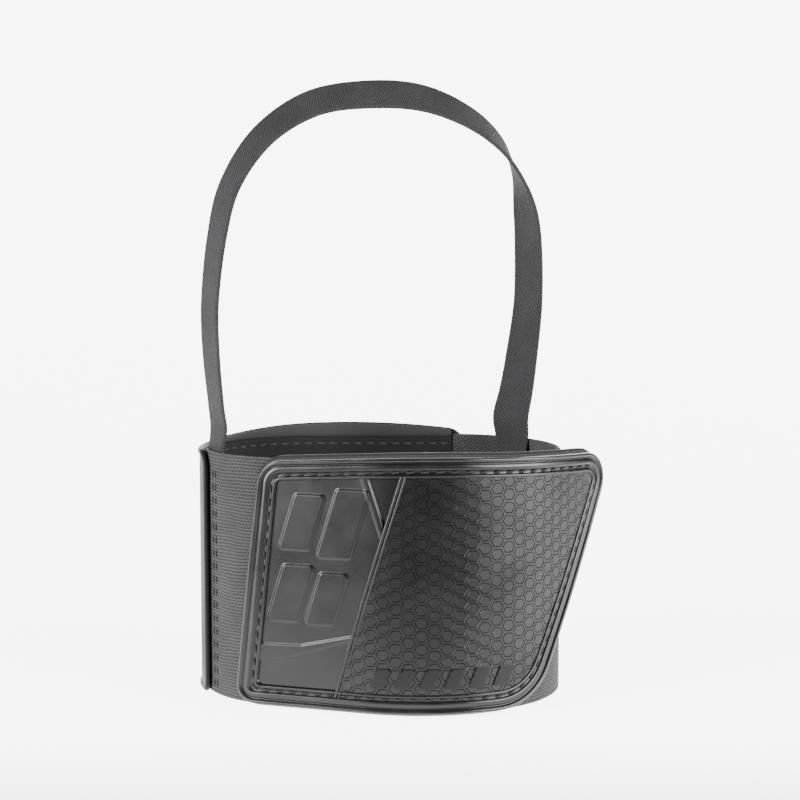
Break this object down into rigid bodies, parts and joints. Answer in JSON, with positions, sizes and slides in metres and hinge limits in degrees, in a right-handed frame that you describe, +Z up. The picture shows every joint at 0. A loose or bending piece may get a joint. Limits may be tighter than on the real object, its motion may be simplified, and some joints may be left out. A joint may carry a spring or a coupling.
{
  "type": "protective wrap cuff",
  "caption": "Elastic cuff with a curved, stitched rubber shield in front, a flexible panel behind and a narrow woven elastic loop that stands over the top.",
  "frame": {"origin": "middle of the bounding box in plan, on the surface that the cuff stands on", "axes": "+Z up along the cuff towards the loop, -Y towards the shield's face, +X towards the shield's free end"},
  "size_m": [0.1282, 0.0794, 0.1911],
  "materials": {
    "shell_rubber": "satin moulded rubber with a fine grain",
    "padding_foam": "matte cut edge of closed-cell foam",
    "backing_fabric": "matte plain weave",
    "thread": "matte twisted polyester thread",
    "accent_gloss": "smooth semi-gloss film on the shell",
    "elastic_web": "ribbed woven elastic, matte with a slight sheen",
    "rear_rubber": "satin rubberised sheet",
    "lining_fabric": "matte knitted lining",
    "binding_tape": "flat folded tape with a slight sheen",
    "strap_web": "twill-ribbed woven elastic with plain selvedges"
  },
  "bodies": {
    "cuff": {"shield_shell": "shell_rubber", "shield_padding": "padding_foam", "shield_backing": "backing_fabric", "shield_stitching": "thread", "accent_bars": "accent_gloss", "left_elastic": "elastic_web", "right_elastic": "elastic_web", "rear_panel": "rear_rubber", "rear_lining": "lining_fabric", "rear_edge_binding": "binding_tape", "rear_stitching": "thread", "left_seam_stitching": "thread", "right_seam_stitching": "thread", "shield_left_seam": "thread", "shield_right_seam": "thread", "loop_end_left": "strap_web", "loop_end_right": "strap_web", "bar_tack_left": "thread", "bar_tack_right": "thread"},
    "loop": {"heel_loop": "strap_web"}
  },
  "joints": [
    {"name": "loop_swing", "type": "hinge", "parent": "cuff", "child": "loop", "pos_m": [-0.01032, 0.01168, 0.084], "axis": [0.9519, 0.3065, 0], "range_deg": [-90, 90], "stiffness_Nm_per_rad": 0.02}
  ]
}
